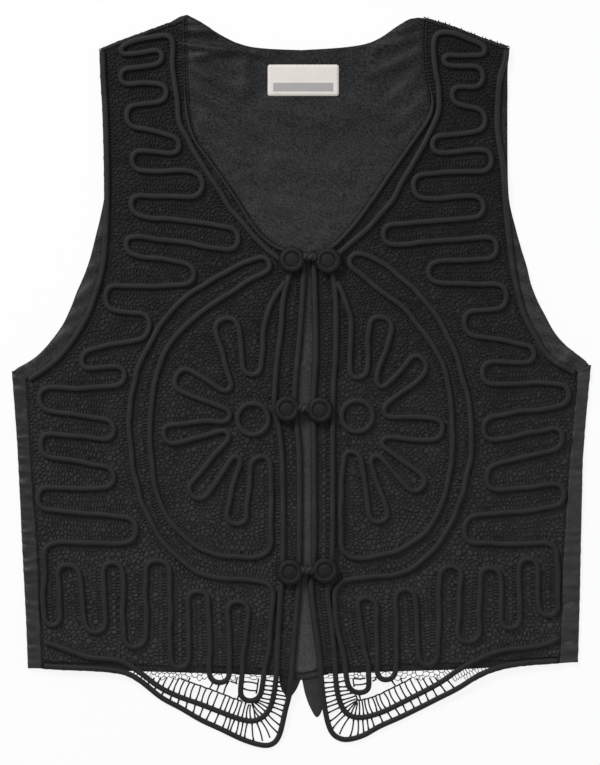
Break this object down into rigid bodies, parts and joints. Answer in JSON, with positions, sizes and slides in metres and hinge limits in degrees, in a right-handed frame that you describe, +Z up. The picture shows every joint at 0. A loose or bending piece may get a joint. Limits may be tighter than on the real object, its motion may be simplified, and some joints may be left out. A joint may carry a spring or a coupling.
{
  "type": "vest",
  "caption": "Waist-length sleeveless vest with cord lace fronts, knot buttons and a satin back, laid flat.",
  "frame": {"origin": "centre of the bounding box's underside, on the surface the vest lies on", "axes": "+X across the vest, to the right as seen from above, +Y from the hem up to the neck, +Z up from the surface"},
  "size_m": [0.4806, 0.6086, 0.0147],
  "materials": {
    "satin": "black polyester satin with a soft sheen, puckered along the side seams",
    "lining": "blue-black taffeta lining with a fine grainy weave and a low sheen",
    "needle_lace": "matt black needle lace of fine twisted thread in open cells",
    "cord": "black ribbed rayon cord, round, sewn down",
    "knot": "knot buttons and loops coiled from fine twisted black rope",
    "label": "cream woven label, left bare, with a grey lower band"
  },
  "bodies": {
    "root": {"back_shell": "satin", "tie_left": "satin", "tie_right": "satin", "back_lining": "lining", "lace_left": "needle_lace", "lace_right": "needle_lace", "lace_cord_left": "cord", "lace_cord_right": "cord", "ring_left": "cord", "ring_right": "cord", "inner_cord_left": "cord", "inner_cord_right": "cord", "edge_cord_left": "cord", "edge_cord_right": "cord", "armhole_cord_left": "cord", "armhole_cord_right": "cord", "knot_top_left": "knot", "knot_top_right": "knot", "knot_middle_left": "knot", "knot_middle_right": "knot", "knot_low_left": "knot", "knot_low_right": "knot", "link_top": "knot", "link_middle": "knot", "link_low": "knot", "label": "label"}
  },
  "joints": []
}
